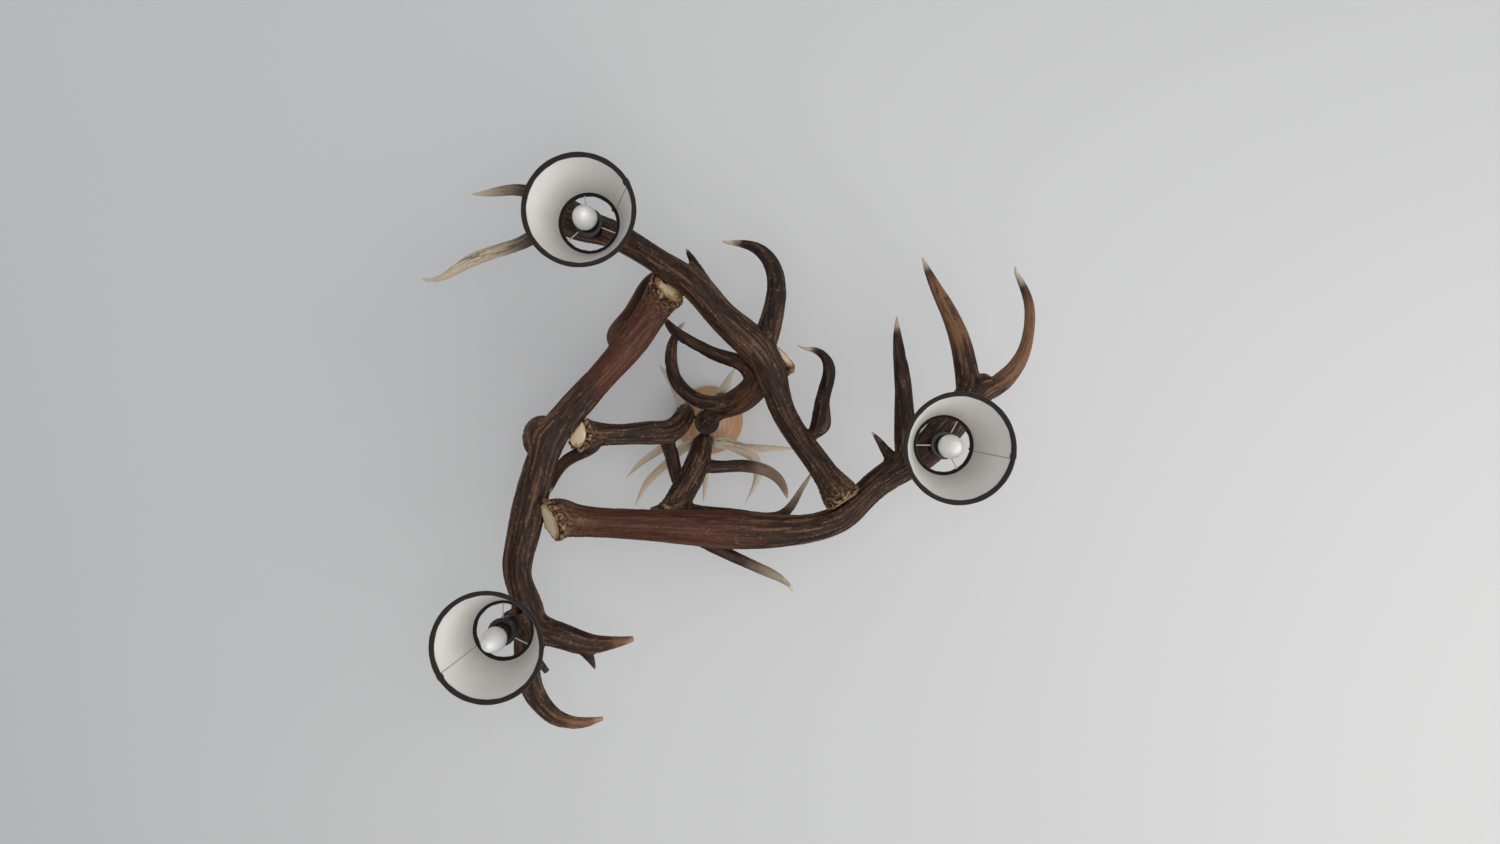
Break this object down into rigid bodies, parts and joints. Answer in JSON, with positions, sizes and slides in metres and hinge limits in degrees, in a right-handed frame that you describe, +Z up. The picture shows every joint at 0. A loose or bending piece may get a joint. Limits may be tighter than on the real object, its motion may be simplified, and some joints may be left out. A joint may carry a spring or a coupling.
{
  "type": "antler chandelier",
  "caption": "Hanging ceiling light of interlocked antlers on a short hook and link, each large antler carrying a candle bulb under a tapered fabric shade.",
  "frame": {"origin": "centre of the bracket's face on the ceiling, on the hook's axis", "axes": "+Z up through the ceiling, the light hangs in -Z; +X towards lamp 2"},
  "size_m": [0.9884, 0.8803, 0.5227],
  "materials": {
    "dark_antler": "matte",
    "small_antler": "matte",
    "turned_wood": "satin",
    "zinc_steel": "satin",
    "black_steel": "satin",
    "brass": "satin",
    "terminal_plastic": "satin",
    "black_phenolic": "satin",
    "cap_nickel": "satin",
    "opal_glass": "satin",
    "shade_fabric": "matte",
    "hem_fabric": "matte",
    "white_wire": "satin"
  },
  "bodies": {
    "ceiling_fixing": {"ceiling_bracket": "zinc_steel", "terminal_block": "terminal_plastic", "terminal_screws": "zinc_steel", "canopy": "turned_wood", "canopy_collar": "brass", "ceiling_hook": "black_steel"},
    "link": {"hanging_link": "black_steel"},
    "antler_frame": {"hanging_eye": "black_steel", "centre_rod": "zinc_steel", "centre_hub": "black_steel", "rod_washers": "zinc_steel", "rod_nuts": "zinc_steel", "hub_screws": "black_steel", "lower_antler_1": "dark_antler", "lower_antler_2": "dark_antler", "lower_antler_3": "dark_antler", "upper_antler_1": "small_antler", "upper_antler_2": "small_antler", "upper_antler_3": "small_antler", "ring_dowels": "zinc_steel", "upper_dowels": "zinc_steel", "lamp_nipple_1": "zinc_steel", "nipple_nut_1": "zinc_steel", "holder_cap_1": "black_phenolic", "holder_body_1": "black_phenolic", "holder_contact_1": "brass", "lamp_nipple_2": "zinc_steel", "nipple_nut_2": "zinc_steel", "holder_cap_2": "black_phenolic", "holder_body_2": "black_phenolic", "holder_contact_2": "brass", "lamp_nipple_3": "zinc_steel", "nipple_nut_3": "zinc_steel", "holder_cap_3": "black_phenolic", "holder_body_3": "black_phenolic", "holder_contact_3": "brass"},
    "shade_1": {"shade_spider_1": "white_wire", "shade_bottom_wire_1": "white_wire", "shade_cover_1": "shade_fabric", "shade_top_hem_1": "hem_fabric", "shade_bottom_hem_1": "hem_fabric"},
    "ring_1": {"shade_ring_1": "black_phenolic"},
    "bulb_1": {"bulb_cap_1": "cap_nickel", "bulb_glass_1": "opal_glass"},
    "shade_2": {"shade_spider_2": "white_wire", "shade_bottom_wire_2": "white_wire", "shade_cover_2": "shade_fabric", "shade_top_hem_2": "hem_fabric", "shade_bottom_hem_2": "hem_fabric"},
    "ring_2": {"shade_ring_2": "black_phenolic"},
    "bulb_2": {"bulb_cap_2": "cap_nickel", "bulb_glass_2": "opal_glass"},
    "shade_3": {"shade_spider_3": "white_wire", "shade_bottom_wire_3": "white_wire", "shade_cover_3": "shade_fabric", "shade_top_hem_3": "hem_fabric", "shade_bottom_hem_3": "hem_fabric"},
    "ring_3": {"shade_ring_3": "black_phenolic"},
    "bulb_3": {"bulb_cap_3": "cap_nickel", "bulb_glass_3": "opal_glass"}
  },
  "joints": [
    {"name": "hook_swing", "type": "hinge", "parent": "ceiling_fixing", "child": "link", "pos_m": [0, 0, -0.075], "axis": [1, 0, 0], "range_deg": [-10, 10]},
    {"name": "eye_swing", "type": "hinge", "parent": "link", "child": "antler_frame", "pos_m": [0, 0, -0.1052], "axis": [0, 1, 0], "range_deg": [-10, 10]},
    {"name": "shade_turn_1", "type": "hinge", "parent": "antler_frame", "child": "shade_1", "pos_m": [-0.175, -0.305, -0.40455], "axis": [0, 0, 1], "continuous": true},
    {"name": "ring_turn_1", "type": "hinge", "parent": "antler_frame", "child": "ring_1", "pos_m": [-0.175, -0.305, -0.409], "axis": [0, 0, 1], "continuous": true},
    {"name": "bulb_turn_1", "type": "hinge", "parent": "antler_frame", "child": "bulb_1", "pos_m": [-0.175, -0.305, -0.421], "axis": [0, 0, 1], "continuous": true},
    {"name": "shade_turn_2", "type": "hinge", "parent": "antler_frame", "child": "shade_2", "pos_m": [0.366, 0.032, -0.40455], "axis": [0, 0, 1], "continuous": true},
    {"name": "ring_turn_2", "type": "hinge", "parent": "antler_frame", "child": "ring_2", "pos_m": [0.366, 0.032, -0.409], "axis": [0, 0, 1], "continuous": true},
    {"name": "bulb_turn_2", "type": "hinge", "parent": "antler_frame", "child": "bulb_2", "pos_m": [0.366, 0.032, -0.421], "axis": [0, 0, 1], "continuous": true},
    {"name": "shade_turn_3", "type": "hinge", "parent": "antler_frame", "child": "shade_3", "pos_m": [-0.30682, 0.31437, -0.40574], "axis": [0, 0, 1], "continuous": true},
    {"name": "ring_turn_3", "type": "hinge", "parent": "antler_frame", "child": "ring_3", "pos_m": [-0.307, 0.31452, -0.40885], "axis": [0.0601, -0.0504, 0.9969], "continuous": true},
    {"name": "bulb_turn_3", "type": "hinge", "parent": "antler_frame", "child": "bulb_3", "pos_m": [-0.30773, 0.31513, -0.42081], "axis": [0.0601, -0.0504, 0.9969], "continuous": true}
  ]
}
